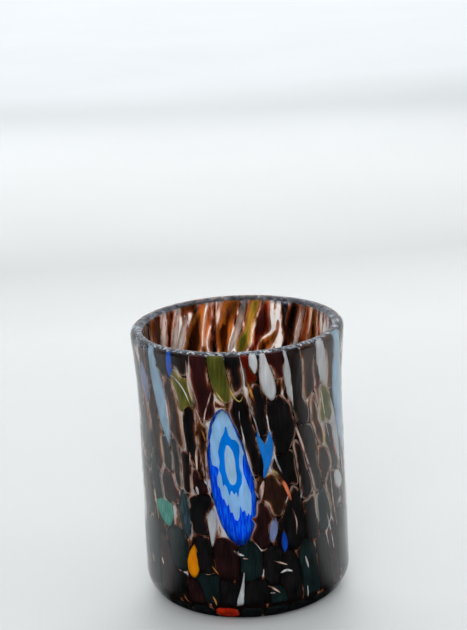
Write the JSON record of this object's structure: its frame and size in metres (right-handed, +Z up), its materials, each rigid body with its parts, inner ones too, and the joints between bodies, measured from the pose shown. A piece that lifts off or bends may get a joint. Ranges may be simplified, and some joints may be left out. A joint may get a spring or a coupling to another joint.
{
  "type": "shot glass",
  "caption": "Small hand-blown shot glass with a thick clear wall and floor, dark and bright glass chips fused in its wall, and a stretched blue and white flower slice on the front.",
  "frame": {"origin": "centre of the foot, on the plane the glass stands on", "axes": "+Z up along the glass's axis, -Y towards the flower slice, +X to the right of it"},
  "size_m": [0.0486, 0.0484, 0.064],
  "materials": {
    "clear_glass": "clear, fire-polished, high gloss",
    "black_chips": "coloured glass sealed under clear glass, glossy",
    "plum_chips": "coloured glass sealed under clear glass, glossy",
    "brown_chips": "coloured glass sealed under clear glass, glossy",
    "smoke_chips": "coloured glass sealed under clear glass, glossy",
    "bottle_chips": "coloured glass sealed under clear glass, glossy",
    "heel_chips": "coloured glass sealed under clear glass, glossy",
    "base_chips": "coloured glass sealed under clear glass, glossy",
    "flower_core": "coloured glass sealed under clear glass, glossy",
    "flower_ring": "coloured glass sealed under clear glass, glossy",
    "flower_petals": "coloured glass sealed under clear glass, glossy",
    "flower_shell": "coloured glass sealed under clear glass, glossy",
    "orange_murrina": "coloured glass sealed under clear glass, glossy",
    "teal_murrina": "coloured glass sealed under clear glass, glossy",
    "slate_murrina": "coloured glass sealed under clear glass, glossy",
    "white_chips": "coloured glass sealed under clear glass, glossy",
    "pale_blue_chips": "coloured glass sealed under clear glass, glossy",
    "azure_chip": "coloured glass sealed under clear glass, glossy",
    "cobalt_chips": "coloured glass sealed under clear glass, glossy",
    "olive_chips": "coloured glass sealed under clear glass, glossy",
    "amber_chips": "coloured glass sealed under clear glass, glossy",
    "red_chips": "coloured glass sealed under clear glass, glossy",
    "lilac_chips": "coloured glass sealed under clear glass, glossy"
  },
  "bodies": {
    "root": {"inner_gather": "clear_glass", "outer_casing": "clear_glass", "vein_glass": "clear_glass", "black_chips": "black_chips", "plum_chips": "plum_chips", "brown_chips": "brown_chips", "smoke_chips": "smoke_chips", "bottle_chips": "bottle_chips", "heel_chips": "heel_chips", "base_chips": "base_chips", "flower_core": "flower_core", "flower_ring": "flower_ring", "flower_petals": "flower_petals", "flower_shell": "flower_shell", "orange_murrina": "orange_murrina", "teal_murrina": "teal_murrina", "slate_murrina": "slate_murrina", "white_chips": "white_chips", "pale_blue_chips": "pale_blue_chips", "azure_chip": "azure_chip", "cobalt_chips": "cobalt_chips", "olive_chips": "olive_chips", "amber_chips": "amber_chips", "red_chips": "red_chips", "lilac_chips": "lilac_chips"}
  },
  "joints": []
}
